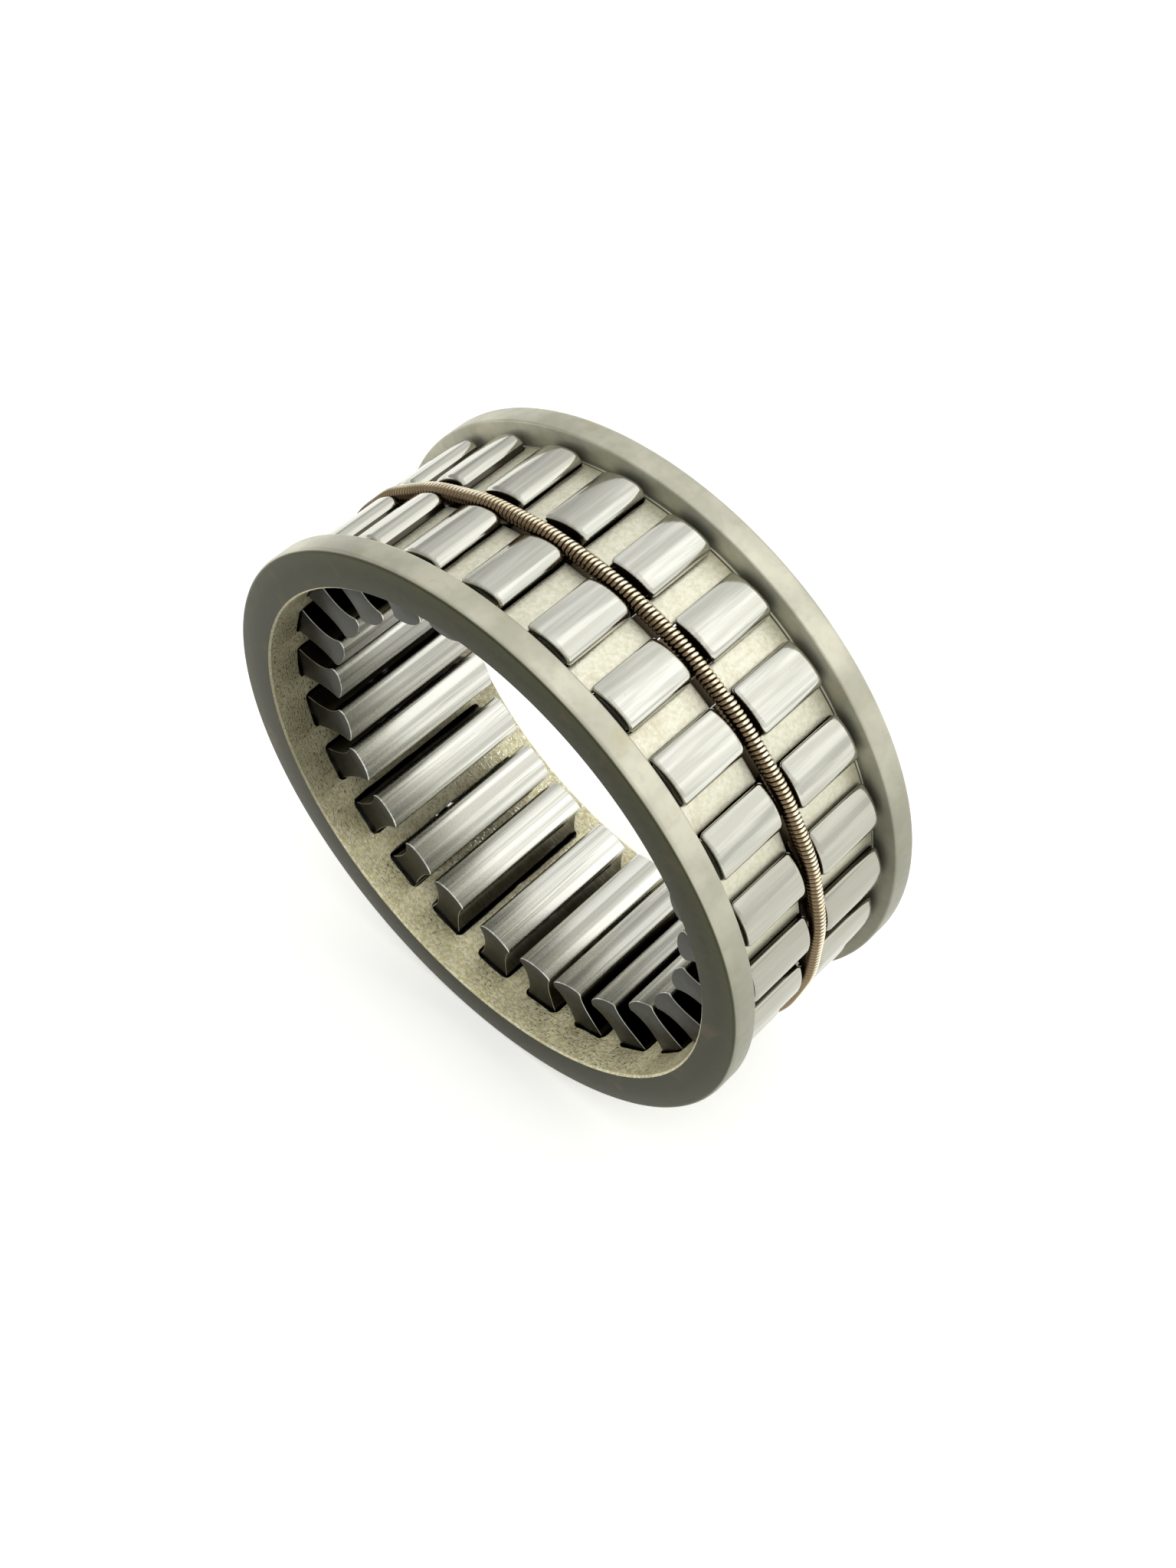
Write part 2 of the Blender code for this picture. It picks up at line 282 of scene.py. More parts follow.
# A painted glint on the bore's flakes.
BORE_FLAKE_GLINT = colour(1.0, 0.98, 0.86)
# Painted shade at the left of the bore.
BORE_PAINTED_SHADE = colour(0.13, 0.12, 0.07)
# Painted shade in the window walls and the band's groove.
WINDOW_PAINTED_SHADE = colour(0.085, 0.066, 0.042)

# Colours: sprags
STEEL_GREY = colour(0.55, 0.55, 0.50)
STEEL_PALE = colour(0.73, 0.73, 0.675)
STEEL_BAND = colour(0.47, 0.46, 0.40)
STEEL_SPECK = colour(0.42, 0.40, 0.31)
SOLE_GREY = colour(0.50, 0.49, 0.44)
SOLE_BRIGHT = colour(0.84, 0.84, 0.78)
SOLE_SCORE = colour(0.27, 0.26, 0.22)
# Painted shade on the feet of the sprags that the table lists.
FOOT_PAINTED_SHADE = colour(0.075, 0.07, 0.055)
# Heads made darker, as the table above lists.
HEAD_DARKENED = colour(0.32, 0.31, 0.25)
# Painted shade: the end faces.
SPRAG_END_PAINTED_SHADE = colour(0.045, 0.045, 0.038)
# Painted shade on the neck, the flanks and under the head.
NECK_PAINTED_SHADE = colour(0.022, 0.020, 0.016)
HEAD_PAINTED_SHADE = colour(0.08, 0.07, 0.055)
# Painted shade in the spring's groove.
GROOVE_PAINTED_SHADE = colour(0.085, 0.066, 0.044)

# Colours: garter spring
# Painted highlight on the crests of the turns, painted shade on their sides and inside the coil.
WIRE_PAINTED_HIGHLIGHT = colour(0.94, 0.82, 0.60)
WIRE_PAINTED_HIGHLIGHT_PALE = colour(1.0, 0.95, 0.76)
WIRE_PAINTED_SIDE_SHADE = colour(0.22, 0.16, 0.095)
WIRE_PAINTED_INNER_SHADE = colour(0.10, 0.07, 0.042)

# Colours: studio
TABLE_WHITE = colour(0.93, 0.93, 0.92)
TABLE_UNLIT = colour(0.0, 0.0, 0.0)
TABLE_LIFT = colour(0.36, 0.36, 0.356)
ROOM_DIM = colour(0.48, 0.48, 0.455)
ROOM_PALE = colour(1.0, 1.0, 0.975)
ROOM_WINDOW = colour(1.45, 1.45, 1.415)


def new_material(name):
    made = bpy.data.materials.new(name)
    made.use_nodes = True
    made.node_tree.nodes.clear()
    return made, Finish(made.node_tree)


def surface(finish, sockets):
    """Ends a material in one Principled BSDF."""
    shader = finish.node("ShaderNodeBsdfPrincipled", {}, sockets)["BSDF"]
    finish.node("ShaderNodeOutputMaterial", {}, {"Surface": shader})


def ring_place(finish):
    """Where a point is on the ring: its place, radius and height, and how its surface faces."""
    spot = finish.node("ShaderNodeTexCoord")
    place, facing = spot["Object"], spot["Normal"]
    x, y, height = finish.parts(place)
    face_x, face_y, face_along = finish.parts(facing)
    radius = (x * x + y * y) ** 0.5
    face_out = (face_x * x + face_y * y) / radius
    return place, radius, height, face_out, face_along


def cage_finish():
    """Turned steel with a greasy cast: pale rims, sandy bars and a yellow-brown bore with a painted glint on
    its flakes; painted shade on the end faces, in the window walls and groove, at the left of the bore and
    towards the bottom.
    """
    material, finish = new_material("cage_steel")
    place, radius, height, face_out, face_along = ring_place(finish)
    cloud = finish.noise(place, 6 * MM, 4.0)
    mottle = finish.noise(place, 0.9 * MM, 4.0)
    sand = finish.noise(finish.shifted(place, (0.4, 0.3, 0.2)), 0.42 * MM, 4.0, 0.65)
    grain = finish.noise(place, 0.14 * MM, 2.0)
    stain = finish.step(finish.noise(finish.shifted(place, (0.2, 0.1, 0.3)), 3.5 * MM, 5.0), 0.56, 0.72)
    turned_bore = finish.lines(height, 0.12 * MM)
    turned_face = finish.lines(radius, 0.1 * MM)
    x, y, _ = finish.parts(place)
    around = y.math("ARCTAN2", y, x) * BORE_RADIUS
    rolled_out = finish.node("ShaderNodeCombineXYZ", {}, {"X": around * 0.45, "Y": height})["Vector"]
    # Flakes of metal in the bore; their near-white colour is also a painted glint.
    flake_and_glint = finish.step(finish.noise(rolled_out, 0.2 * MM, 2.0), 0.54, 0.62)

    sideways = finish.step(abs(face_along), 0.6, 0.9)
    end_face = sideways * finish.step(abs(height), HALF_WIDTH - 0.3 * MM, HALF_WIDTH - 0.1 * MM)
    bore = finish.step(0 - face_out, 0.4, 0.8)
    outward = finish.step(face_out, 0.4, 0.8)
    off_rim = 1 - finish.step(abs(height), RIM_WALL - 0.3 * MM, RIM_WALL - 0.1 * MM)
    bar_top = outward * off_rim * finish.step(radius, BAND_RADIUS - 0.12 * MM, BAND_RADIUS - 0.04 * MM)
    in_wall = finish.step(radius, BORE_RADIUS + 0.02 * MM, BORE_RADIUS + 0.1 * MM)
    in_wall = in_wall * (1 - finish.step(radius, BAND_RADIUS - 0.3 * MM, BAND_RADIUS - 0.12 * MM))
    # Painted shade in the window walls and the band's groove, between the bore and the bar tops.
    painted_shade_mask = in_wall * off_rim * (1 - bore)

    pale = finish.mix(RIM_GREY, RIM_PALE, finish.step(cloud, 0.35, 0.65))
    pale = finish.mix(pale, RIM_STAIN, stain * 0.4)
    pale = finish.mix(pale, RIM_MOTTLE, finish.step(mottle, 0.52, 0.75) * 0.35)
    sandy = finish.mix(BAR_SAND, BAR_PALE, finish.step(sand, 0.36, 0.60))
    sandy = finish.mix(sandy, BAR_GRAIN, finish.step(grain * sand, 0.28, 0.40) * 0.6)
    sandy = finish.mix(sandy, BAR_STAIN, stain * 0.35)
    # Painted shade: the end faces are a darkened copy of the steel, lighter towards the rim's outside, with
    # real stains and grain on it.
    painted_dark_face = finish.mix(FACE_PAINTED_SHADE, FACE_PAINTED_SHADE_GREY, finish.step(mottle, 0.3, 0.7))
    painted_dark_face = finish.mix(painted_dark_face, FACE_PAINTED_SHADE_EDGE, finish.step(radius, BAND_RADIUS, RIM_RADIUS) * 0.45)
    painted_dark_face = finish.mix(painted_dark_face, FACE_STAIN, stain * 0.5)
    painted_dark_face = finish.mix(painted_dark_face, FACE_GRAIN, finish.step(grain * sand, 0.36, 0.46) * 0.45)
    brown = finish.mix(BORE_BROWN, BORE_GOLD, finish.step(sand, 0.40, 0.58))
    brown = finish.mix(brown, BORE_STAIN, finish.step(cloud, 0.5, 0.7) * 0.4)
    # The flakes are metal and catch light through their bump; their near-white colour is also a painted
    # glint.
    brown = finish.mix(brown, BORE_FLAKE_GLINT, flake_and_glint)
    # Painted shade: the bore is darkened towards its left side, where it lies in shade.
    painted_left_shade = 1 - finish.step(x, -0.95 * BORE_RADIUS, -0.6 * BORE_RADIUS)
    brown = finish.mix(brown, BORE_PAINTED_SHADE, painted_left_shade * 0.75)
    # Painted shade: the rims and bars are darkened towards the bottom.
    painted_low_shade = 1 - finish.step(y, 0.1 * RIM_RADIUS, 0.75 * RIM_RADIUS)
    pale = finish.mix(pale, RIM_PAINTED_LOW_SHADE, painted_low_shade * 0.8)
    sandy = finish.mix(sandy, BAR_PAINTED_LOW_SHADE, painted_low_shade * 0.6)
    shade = finish.mix(pale, sandy, bar_top)
    shade = finish.mix(shade, painted_dark_face, end_face)
    shade = finish.mix(shade, brown, bore)
    shade = finish.mix(shade, WINDOW_PAINTED_SHADE, painted_shade_mask)

    roughness = 0.33 + mottle * 0.16 + bar_top * 0.08 + (sideways - end_face) * 0.2
    relief = grain * 0.5 + mottle * 0.4 + sand * bar_top * 1.5
    relief = relief + (turned_bore * 1.6 + flake_and_glint * 3.5) * bore + turned_face * end_face * 0.4
    surface(finish, {
        "Base Color": shade,
        "Metallic": 1 - bore * (1 - flake_and_glint) * 0.85,
        "Roughness": roughness - flake_and_glint * bore * 0.12,
        "Normal": finish.bump(relief, 0.016 * MM),
    })
    return material


def sprag_finish():
    """Bright ground steel with fine streaks along the sprag, painted shade on its neck, flanks, groove, end
    faces and listed feet, and listed heads made darker.
    """
    material, finish = new_material("sprag_steel")
    spot = finish.node("ShaderNodeTexCoord")
    piece = finish.node("ShaderNodeObjectInfo")
    own = piece["Random"]
    # The object colour carries the painted foot shade and the head darkening.
    foot_shade, head_darkening, _ = finish.parts(piece["Color"])
    offset = finish.node("ShaderNodeCombineXYZ", {}, {"X": own, "Y": own * 3, "Z": own * 7})["Vector"]
    place = finish.shifted(spot["Object"], offset)
    out, side, along = finish.parts(spot["Object"])
    _, face_side, face_along = finish.parts(spot["Normal"])
    streak = finish.noise(finish.stretched(place, (1.0, 1.0, 0.02)), 0.11 * MM, 3.0)
    broad = finish.noise(finish.stretched(place, (1.0, 1.0, 0.06)), 0.8 * MM, 3.0)
    elsewhere = finish.shifted(place, (0.3, 0.5, 0.1))
    band = finish.noise(finish.stretched(elsewhere, (1.0, 1.0, 0.045)), 1.5 * MM, 2.0)
    lengthwise = finish.noise(finish.stretched(place, (1.0, 1.0, 0.01)), 0.9 * MM, 2.0)
    speck = finish.noise(place, 0.35 * MM, 4.0)

    end_face = finish.step(abs(face_along), 0.75, 0.97)
    flank = finish.step(abs(face_side), 0.6, 0.9)
    heel = finish.step(0 - face_side, 0.3, 0.5)
    above_sole = out - SOLE - (side - SOLE_OFF_MIDDLE) * math.tan(SOLE_TILT)
    low = 1 - finish.step(out, LIFTING_UNDERSIDE - 0.05 * MM, LIFTING_UNDERSIDE + 0.1 * MM)
    neck = 1 - finish.step(abs(side), NECK_WIDE_HALF + 0.03 * MM, NECK_WIDE_HALF + 0.15 * MM)
    neck = neck * (1 - finish.step(out, HEAD_UNDERSIDE - 0.1 * MM, HEAD_UNDERSIDE + 0.05 * MM))
    below_head = low.math("MAXIMUM", low, neck)
    # Painted shade on the flanks, and on the end faces towards the neck, below the head.
    painted_shade_mask = flank * finish.step(above_sole, 0.85 * MM, 1.2 * MM)
    painted_shade_mask = (painted_shade_mask + end_face * finish.step(above_sole, 2.3 * MM, 4.6 * MM)) * below_head
    in_groove = 1 - finish.step(abs(along), GROOVE_HALF + 0.02 * MM, GROOVE_HALF + 0.1 * MM)
    groove = in_groove * finish.step(out, GROOVE_FLOOR - 0.15 * MM, GROOVE_FLOOR - 0.05 * MM)
    sole = (1 - finish.step(above_sole, 0.9 * MM, 1.3 * MM)) * (1 - end_face)
    foot = (1 - finish.step(out, SOLE + 2.0 * MM, SOLE + 4.0 * MM)) * (1 - heel)

    steel = finish.mix(STEEL_GREY, STEEL_PALE, finish.step(broad, 0.36, 0.64))
    steel = finish.mix(steel, STEEL_BAND, finish.step(band, 0.5, 0.68) * 0.5)
    steel = finish.mix(steel, STEEL_SPECK, finish.step(speck, 0.64, 0.80) * 0.5)
    ground = finish.mix(SOLE_GREY, SOLE_BRIGHT, finish.step(lengthwise, 0.38, 0.58))
    scored = 1 - finish.step(abs(lengthwise - 0.52), 0.004, 0.016)
    ground = finish.mix(ground, SOLE_SCORE, scored * 0.5)
    steel = finish.mix(steel, ground, sole * 0.85)
    # Painted shade on the feet of the listed sprags, off the heel.
    steel = finish.mix(steel, FOOT_PAINTED_SHADE, foot * foot_shade * 0.85)
    # The listed heads are made darker.
    steel = finish.mix(steel, HEAD_DARKENED, finish.step(out, 0.0, HEAD_UNDERSIDE) * head_darkening)
    # Painted shade: the end faces are painted as a darkened copy of the steel.
    steel = finish.mix(steel, SPRAG_END_PAINTED_SHADE, end_face)
    # Painted shade: deepest on the neck, lighter under the head.
    under_head = finish.step(out, -0.6 * MM, 0.5 * MM) * (1 - in_groove)
    painted_shade_colour = finish.mix(NECK_PAINTED_SHADE, HEAD_PAINTED_SHADE, under_head)
    steel = finish.mix(steel, painted_shade_colour, painted_shade_mask)
    # Painted shade in the spring's groove across the head.
    steel = finish.mix(steel, GROOVE_PAINTED_SHADE, groove)
    surface(finish, {
        "Base Color": steel,
        "Metallic": 1.0,
        "Roughness": 0.10 + streak * 0.04 + speck * 0.03 + end_face * 0.2 + sole * 0.14,
        "Normal": finish.bump(streak * 0.1 + broad * 2.2 + speck * 0.2, 0.008 * MM),
    })
    return material


def spring_finish():
    """Bronze-coloured drawn wire, with a painted highlight on the outer crest of each turn, painted shade on
    its sides and painted shade inside the coil.
    """
    material, finish = new_material("spring_bronze")
    place, _, _, face_out, face_along = ring_place(finish)
    tone = finish.noise(place, 2.5 * MM, 3.0)
    drawn = finish.noise(place, 0.08 * MM, 2.0)
    # Painted highlight where the wire faces outwards, tilted a little to one side; painted shade on its sides
    # and inside the coil.
    painted_highlight = finish.mix(WIRE_PAINTED_HIGHLIGHT, WIRE_PAINTED_HIGHLIGHT_PALE, finish.step(tone, 0.35, 0.65))
    lit = face_out - face_along * 0.25
    bronze = finish.mix(WIRE_PAINTED_SIDE_SHADE, painted_highlight, finish.step(lit, 0.66, 0.90))
    bronze = finish.mix(WIRE_PAINTED_INNER_SHADE, bronze, finish.step(face_out, 0.0, 0.5))
    surface(finish, {
        "Base Color": bronze,
        "Metallic": 1.0,
        "Roughness": 0.2 + tone * 0.12,
        "Normal": finish.bump(drawn, 0.004 * MM),
    })
    return material


def arc(middle, radius, start, end, steps):
    """Points along an arc, both ends included."""
    x, y = middle
    angles = [start + (end - start) * step / steps for step in range(steps + 1)]
    return [(x + radius * math.cos(angle), y + radius * math.sin(angle)) for angle in angles]


def rounded(corners):
    """A closed outline whose corners, given as (x, y, rounding), are turned into arcs."""
    points = []
    count = len(corners)
    for index, (x, y, rounding) in enumerate(corners):
        here = Vector((x, y))
        back = (Vector(corners[index - 1][:2]) - here).normalized()
        ahead = (Vector(corners[(index + 1) % count][:2]) - here).normalized()
        half_angle = back.angle(ahead) / 2
        middle = here + (back + ahead).normalized() * rounding / math.sin(half_angle)
        start = here + back * rounding / math.tan(half_angle) - middle
        sweep = math.copysign(math.pi - 2 * half_angle, back.x * ahead.y - back.y * ahead.x)
        first = math.atan2(start.y, start.x)
        points += arc(middle, rounding, first, first - sweep, ROUNDING_STEPS)
    return points


def cage_section():
    """The ring's cross-section as (radius, height), with its edges and roots rounded."""
    groove_floor = BAND_RADIUS - BAND_GROOVE_DEPTH
    relief_floor = BAND_RADIUS - ROOT_RELIEF_DEPTH
    relief_edge = RIM_WALL - ROOT_RELIEF_WIDTH
    near_rim = [
        (BORE_RADIUS + BORE_BREAK, HALF_WIDTH, BREAK_ROUNDING),
        (RIM_RADIUS, HALF_WIDTH, RIM_END_ROUNDING),
        (RIM_RADIUS, RIM_WALL, RIM_ROUNDING),
        (relief_floor, RIM_WALL, ROOT_ROUNDING),
        (relief_floor, relief_edge, BREAK_ROUNDING),
        (BAND_RADIUS, relief_edge, ROOT_ROUNDING),
    ]
    groove = []
    for side in (1, -1):
        edge = WINDOW_MIDDLE + side * BAND_GROOVE_HALF
        bar_end = [(BAND_RADIUS, edge, BAR_END_ROUNDING), (groove_floor, edge, BREAK_ROUNDING)]
        groove += bar_end[::side]
    far_rim = [(radius, -height, rounding) for radius, height, rounding in reversed(near_rim)]
    break_end = HALF_WIDTH - BORE_BREAK
    bore = [(BORE_RADIUS, -break_end, BREAK_ROUNDING), (BORE_RADIUS, break_end, BREAK_ROUNDING)]
    return rounded(near_rim + groove + far_rim + bore)


def mesh_from_rings(name, rings, closed):
    """Quads between rings of points with the same count, ending in caps unless the last meets the first."""
    count = len(rings[0])
    points = [point for ring in rings for point in ring]
    faces = []
    for ring in range(len(rings) if closed else len(rings) - 1):
        here = ring * count
        there = (ring + 1) % len(rings) * count
        for index in range(count):
            after = (index + 1) % count
            faces.append((here + index, here + after, there + after, there + index))
    if not closed:
        faces.append(tuple(reversed(range(count))))
        faces.append(tuple(range((len(rings) - 1) * count, len(rings) * count)))
    mesh = bpy.data.meshes.new(name)
    mesh.from_pydata(points, [], faces)
    shape = bmesh.new()
    shape.from_mesh(mesh)
    bmesh.ops.remove_doubles(shape, verts=shape.verts, dist=SAME_POINT)
    bmesh.ops.dissolve_degenerate(shape, edges=shape.edges, dist=SAME_POINT)
    bmesh.ops.recalc_face_normals(shape, faces=shape.faces)
    shape.to_mesh(mesh)
    shape.free()
    return mesh


def turned_ring():
    section = cage_section()
    rings = []
    for step in range(CAGE_STEPS):
        angle = math.tau * step / CAGE_STEPS
        rings.append([(r * math.cos(angle), r * math.sin(angle), height) for r, height in section])
    return mesh_from_rings("sprag_cage_blank", rings, closed=True)


def window_outline(ragged):
    """Points round a window as (across, along), with the slightly uneven edge that the cut left."""
    half_width, half_length = WINDOW_WIDTH / 2, WINDOW_LENGTH / 2
    across, along = half_width - WINDOW_CORNER, half_length - WINDOW_CORNER
    points = []
    for quarter, (sign_x, sign_y) in enumerate([(1, 1), (-1, 1), (-1, -1), (1, -1)]):
        middle = (sign_x * across, sign_y * along)
        start = quarter * math.pi / 2
        points += arc(middle, WINDOW_CORNER, start, start + math.pi / 2, ROUNDING_STEPS)
        length = 2 * along if quarter % 2 else 2 * across
        runs = max(FEWEST_RUNS, round(length / EDGE_RUN))
        last = Vector(points[-1])
        direction = Vector((-math.sin(start + math.pi / 2), math.cos(start + math.pi / 2)))
        points += [tuple(last + direction * length * run / runs) for run in range(1, runs)]
    shifts = ragged.normal(0.0, WINDOW_RAGGED, len(points))
    return [Vector(point) for point in points], shifts


def window_cutters():
    """One block for each window, flared where it leaves the band so that the edges come out rounded."""
    half_way = EDGE_HALF_WAY * WINDOW_EDGE
    flare = [(CUTTER_REACH, WINDOW_EDGE), (CUTTER_LIP, WINDOW_EDGE)]
    flare += [(-half_way, half_way), (-WINDOW_EDGE, 0.0)]
    levels = [(BORE_RADIUS - rise, grow) for rise, grow in flare]
    levels += [(BAND_RADIUS + rise, grow) for rise, grow in reversed(flare)]
    ragged = np.random.default_rng(RAGGED_SEED)
    joined = bmesh.new()
    for joint in frame["joints"]:
        points, shifts = window_outline(ragged)
        turn = Matrix.Rotation(ring_angle(joint), 4, "Z")
        rings = []
        for radius, grow in levels:
            ring = []
            for index, point in enumerate(points):
                edge = (points[(index + 1) % len(points)] - points[index - 1]).normalized()
                across, along = point + Vector((edge.y, -edge.x)) * (grow + shifts[index])
                ring.append(turn @ Vector((math.sqrt(radius**2 - across**2), across, WINDOW_MIDDLE + along)))
            rings.append(ring)
        joined.from_mesh(mesh_from_rings("window_cutter", rings, closed=False))
    mesh = bpy.data.meshes.new("window_cutters")
    joined.to_mesh(mesh)
    joined.free()
    return mesh


def ring_angle(joint):
    """Where a sprag's window is, round the ring from +X towards +Z."""
    return math.atan2(joint["pos_m"][2], joint["pos_m"][0])


def new_object(name, data):
    obj = bpy.data.objects.new(name, data)
    bpy.context.scene.collection.objects.link(obj)
    return obj


def soft_shading(mesh):
    mesh.shade_smooth()
    mesh.set_sharp_from_angle(angle=SOFT_EDGE)


def evaluated_mesh(obj):
    bpy.context.view_layer.update()
    graph = bpy.context.evaluated_depsgraph_get()
    return bpy.data.meshes.new_from_object(obj.evaluated_get(graph))


def dress(obj, body, node, material):
    """Puts a finished piece on its body in place of the CAD node."""
    obj.data.materials.clear()
    obj.data.materials.append(material)
    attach(obj, body)
    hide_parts(node)


def make_cage():
    blank = new_object("cage_blank", turned_ring())
    cutters = new_object("window_cutters", window_cutters())
    boolean = blank.modifiers.new("windows", "BOOLEAN")
    boolean.operation = "DIFFERENCE"
    boolean.solver = "EXACT"
    boolean.object = cutters
    mesh = evaluated_mesh(blank)
    bpy.data.objects.remove(blank)
    bpy.data.objects.remove(cutters)
    soft_shading(mesh)
    cage = new_object("cage_ring", mesh)
    cage.matrix_world = RING_TO_PART
    dress(cage, "cage", "sprag_cage", cage_finish())


def rounded_end(tip, half_width, rounding, first, last):
    """One end of a sprag, from its +y side round to its -y side: a curved face and two corners."""

    def corner(corner_rounding):
        across = half_width - corner_rounding
        along = math.sqrt((rounding - corner_rounding) ** 2 - across**2)
        return along, across, math.atan2(across, along)

    middle = tip - rounding
    along_first, across_first, swing_first = corner(first)
    along_last, across_last, swing_last = corner(last)
    quarter = math.pi / 2
    points = arc((middle + along_first, across_first), first, quarter, swing_first, CORNER_STEPS)
    points += arc((middle, 0), rounding, swing_first, -swing_last, FACE_STEPS)[1:-1]
    points += arc((middle + along_last, -across_last), last, -swing_last, -quarter, CORNER_STEPS)
    return points


def bend(start, pulls, end):
    """A smooth curve between two points, drawn towards two others."""
    points = []
    for step in range(FACE_STEPS + 1):
        there = step / FACE_STEPS
        here = 1 - there
        weights = here**3, 3 * here**2 * there, 3 * here * there**2, there**3
        places = start, *pulls, end
        points.append(tuple(sum(w * place[axis] for w, place in zip(weights, places)) for axis in (0, 1)))
    return points


def sprag_foot():
    """The sole and its corners from the -y side to the +y side, tilted so that the -y side reaches deeper."""
    turn = Matrix.Rotation(-SOLE_TILT, 2)
    tip = Vector((SOLE, SOLE_OFF_MIDDLE))
    sole = rounded_end(0.0, FOOT_HALF, SOLE_ROUNDING, HEEL_ROUNDING, TOE_ROUNDING)
    return [tuple(tip + turn @ Vector((-x, -y))) for x, y in sole]


def sprag_outline():
    """Points about the rocking axis: x runs out along the ring's radius, y along its circumference.

    A lean lifts the head's -y side, so that side reaches further down over its bar than the other.
    The crown's points come first, and their count is given too.
    """
    crown = rounded_end(CREST, HEAD_HALF, CROWN_ROUNDING, SHOULDER_ROUNDING, LIFTING_SHOULDER_ROUNDING)
    crown = [(x, y + HEAD_OFF_MIDDLE) for x, y in crown]
    foot = sprag_foot()
    hollow = bend((NECK_END, HOLLOW_START), HOLLOW_PULL, foot[0])
    straight = bend((NECK_END, NECK_WIDE_HALF), STRAIGHT_PULL, foot[-1])
    lifting_side = [(LIFTING_UNDERSIDE, -NECK_WIDE_HALF)] + [(x, -y) for x, y in NECK_BULGE] + hollow
    resting_side = [*straight[::-1], *NECK_BULGE[::-1], (HEAD_UNDERSIDE, NECK_HALF)]
    return [Vector(point) for point in crown + lifting_side + foot[1:-1] + resting_side], len(crown)


def drawn_in(outline, amount, lowest=-math.inf):
    """The outline moved inwards by an amount, where it lies further out than lowest."""
    moved = []
    for index, point in enumerate(outline):
        edge = (outline[(index + 1) % len(outline)] - outline[index - 1]).normalized()
        inwards = Vector((edge.y, -edge.x))
        moved.append(point + inwards * amount if point.x > lowest else point)
    return moved


def straight_line(start, end, count):
    """Evenly spaced points from start to end, both included."""
    start, end = Vector(start), Vector(end)
    return [tuple(start.lerp(end, step / (count - 1))) for step in range(count)]


def head_end(point, amount):
    """A point of the head drawn in towards the neck by an amount, for the rounder ends that heads have."""
    x, y = point
    if x < LIFTING_UNDERSIDE or (abs(y) <= NECK_WIDE_HALF and x <= HEAD_UNDERSIDE):
        return x, y
    rise = max(0.0, (x - HEAD_UNDERSIDE) / (CREST - HEAD_UNDERSIDE))
    return x - CREST_SHARE * amount * rise, y * (1 - amount / HEAD_HALF)


def sprag_mesh():
    """The outline drawn along the sprag, rounded at both ends, with the spring's groove across its head."""
    outline, crown = sprag_outline()
    half = SPRAG_LENGTH / 2
    turns = [math.pi / 2 * step / ROUNDING_STEPS for step in range(ROUNDING_STEPS + 1)]
    rounder = HEAD_END_ROUNDING - END_ROUNDING
    rings = []
    for turn in turns:
        back, inset = 1 - math.cos(turn), 1 - math.sin(turn)
        ring = []
        for x, y in drawn_in(outline, END_ROUNDING * inset):
            share = min(1.0, max(0.0, (x - GROOVE_FLOOR) / (HEAD_UNDERSIDE - GROOVE_FLOOR)))
            height = half - (END_ROUNDING + rounder * share) * back
            ring.append((*head_end((x, y), rounder * inset), height))
        rings.append(ring)
    for turn in reversed(turns):
        height = GROOVE_HALF + GROOVE_ROUNDING_LENGTH * (1 - math.cos(turn))
        inset = GROOVE_ROUNDING * (1 - math.sin(turn))
        ring = drawn_in(outline, inset, GROOVE_FLOOR + GROOVE_ROUNDING)
        rings.append([(*head_end(point, inset), height) for point in ring])
    wall = rings[-1]
    rings.append(straight_line(wall[-1], wall[crown], crown) + wall[crown:])
    resting_edge, lifting_edge = [(GROOVE_FLOOR, side * NECK_BULGE[0][1], GROOVE_HALF) for side in (1, -1)]
    floor = straight_line(resting_edge, lifting_edge, crown)
    rings.append([*floor, lifting_edge, *wall[crown + 1:-1], resting_edge])
    rings += [[(x, y, -height) for x, y, height in ring] for ring in reversed(rings)]
    mesh = mesh_from_rings("sprag", rings, closed=False)
    soft_shading(mesh)
    return mesh


def make_sprags():
    """One finished sprag for each joint, leaning as the joint's rest says."""
    mesh = sprag_mesh()
    material = sprag_finish()
    for joint, foot_shade_tenths, head_darkening in zip(frame["joints"], FEET_PAINTED_SHADE, HEADS_DARKENED):
        node = joint["child"]
        lean = LEAST_LEAN - math.radians(joint["range_deg"][0])
        sprag = new_object(node + "_polished", mesh)
        turn = Matrix.Rotation(ring_angle(joint) + lean, 4, "Z")
        sprag.matrix_world = Matrix.Translation(joint["pos_m"]) @ RING_TO_PART @ turn
        # The colour carries the painted foot shade and the head darkening to the finish.
        sprag.color = (foot_shade_tenths / 10, head_darkening / 10, 0.0, 1.0)
        dress(sprag, node, node, material)


def spring_line():
    """The wire's centre line: a close-wound helix that sags between the sprags and wanders along the axis."""
    first = ring_angle(frame["joints"][0])
    pitch = math.tau / len(frame["joints"])
    total = SPRING_TURNS * POINTS_A_TURN
    for step in range(total):
        angle = math.tau * step / total
        turn = math.tau * step / POINTS_A_TURN
        sag = SPRING_SAG * (1 - math.cos(math.tau * (angle - first) / pitch)) / 2
        sway = SPRING_SWAY * math.cos(2 * angle - SWAY_START)
        ripple = SPRING_RIPPLE * math.sin(RIPPLE_COUNT * angle + RIPPLE_START)
        wander = SPRING_SHIFT - sway + ripple
        radius = SPRING_RADIUS - sag + COIL_RADIUS * math.cos(turn)
        height = WINDOW_MIDDLE + wander + COIL_RADIUS * math.sin(turn)
        yield radius * math.cos(angle), radius * math.sin(angle), height


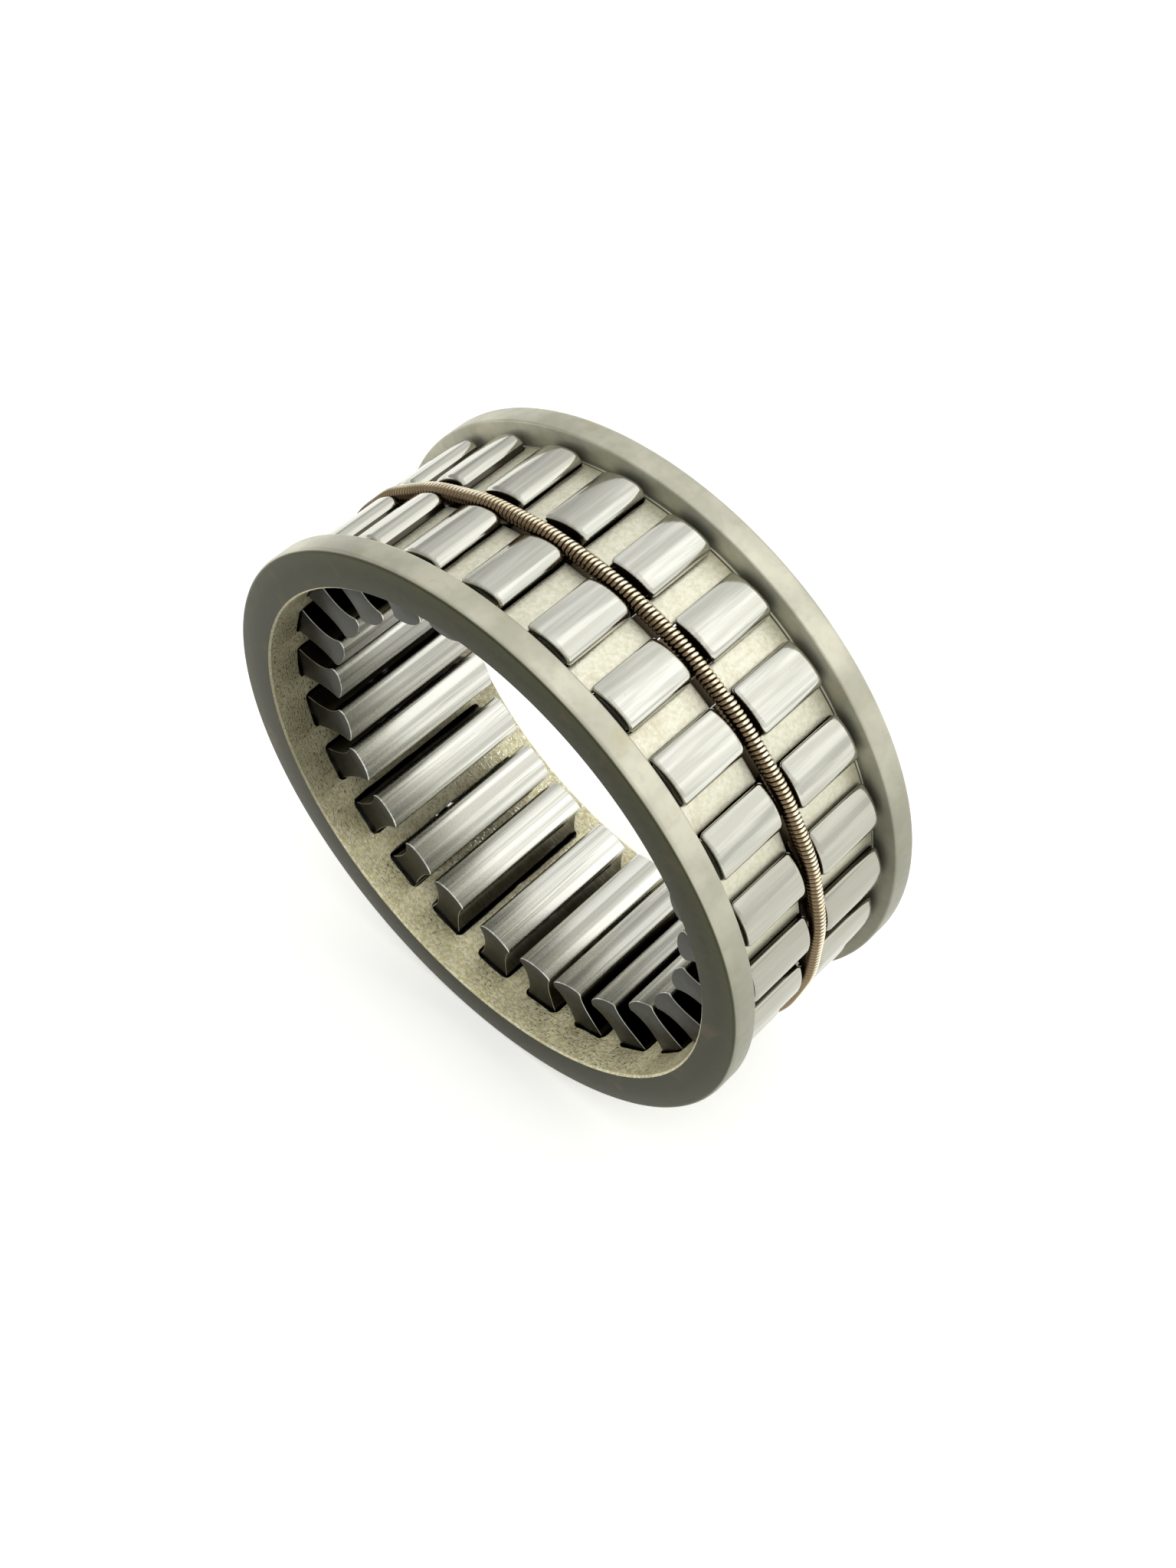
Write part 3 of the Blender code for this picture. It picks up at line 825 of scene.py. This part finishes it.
def make_garter_spring():
    points = list(spring_line())
    curve = bpy.data.curves.new("garter_spring_wire", "CURVE")
    curve.dimensions = "3D"
    curve.bevel_depth = WIRE_RADIUS
    curve.bevel_resolution = WIRE_STEPS
    spline = curve.splines.new("POLY")
    spline.points.add(len(points) - 1)
    for point, place in zip(spline.points, points):
        point.co = (*place, 1)
    spline.use_cyclic_u = True
    spline.use_smooth = True
    drawn = new_object("garter_spring_wire", curve)
    mesh = evaluated_mesh(drawn)
    bpy.data.objects.remove(drawn)
    spring = new_object("garter_spring_coil", mesh)
    spring.matrix_world = RING_TO_PART
    dress(spring, "cage", "garter_spring", spring_finish())


def floor_finish():
    """A white table, which takes the object's shadow and is lifted to white where it is looked at."""
    material, finish = new_material("white_table")
    ray = finish.node("ShaderNodeLightPath")
    seen = ray["Is Camera Ray"] + ray["Is Glossy Ray"] + ray["Is Transmission Ray"]
    surface(finish, {
        "Base Color": TABLE_WHITE,
        "Roughness": 0.9,
        "Specular IOR Level": 0.1,
        "Emission Color": finish.mix(TABLE_UNLIT, TABLE_LIFT, seen),
        "Emission Strength": 1.0,
    })
    return material


def make_table():
    shape = bmesh.new()
    bmesh.ops.create_grid(shape, x_segments=1, y_segments=1, size=TABLE_HALF)
    mesh = bpy.data.meshes.new("table")
    shape.to_mesh(mesh)
    shape.free()
    table = new_object("table", mesh)
    table.location.z = CAGE_LOW.z
    mesh.materials.append(floor_finish())


def make_room():
    """A pale room, dim on the left and brightest at a wide window behind the object on its right."""
    world = bpy.data.worlds.new("pale_room")
    bpy.context.scene.world = world
    world.use_nodes = True
    world.node_tree.nodes.clear()
    finish = Finish(world.node_tree)
    way = finish.node("ShaderNodeTexCoord")["Generated"]
    sockets = {0: way, 1: BRIGHT_SIDE.normalized()}
    towards = finish.node("ShaderNodeVectorMath", {"operation": "DOT_PRODUCT"}, sockets)["Value"]
    light = finish.mix(ROOM_DIM, ROOM_PALE, finish.step(towards, -0.4, 0.5))
    light = finish.mix(light, ROOM_WINDOW, finish.step(towards, 0.74, 0.90))
    background = finish.node("ShaderNodeBackground", {}, {"Color": light, "Strength": 1.0})["Background"]
    finish.node("ShaderNodeOutputWorld", {}, {"Surface": background})


def make_camera():
    data = bpy.data.cameras.new("camera")
    data.sensor_width = CAMERA_SENSOR
    data.lens = CAMERA_LENS
    data.clip_start = CAMERA_NEAREST
    camera = new_object("camera", data)
    camera.location = CAMERA_PLACE
    camera.rotation_euler = CAMERA_LOOK.to_track_quat("-Z", "Y").to_euler()
    bpy.context.scene.camera = camera


make_cage()
make_sprags()
make_garter_spring()
make_table()
make_room()
make_camera()
bpy.context.scene.view_settings.view_transform = "Standard"
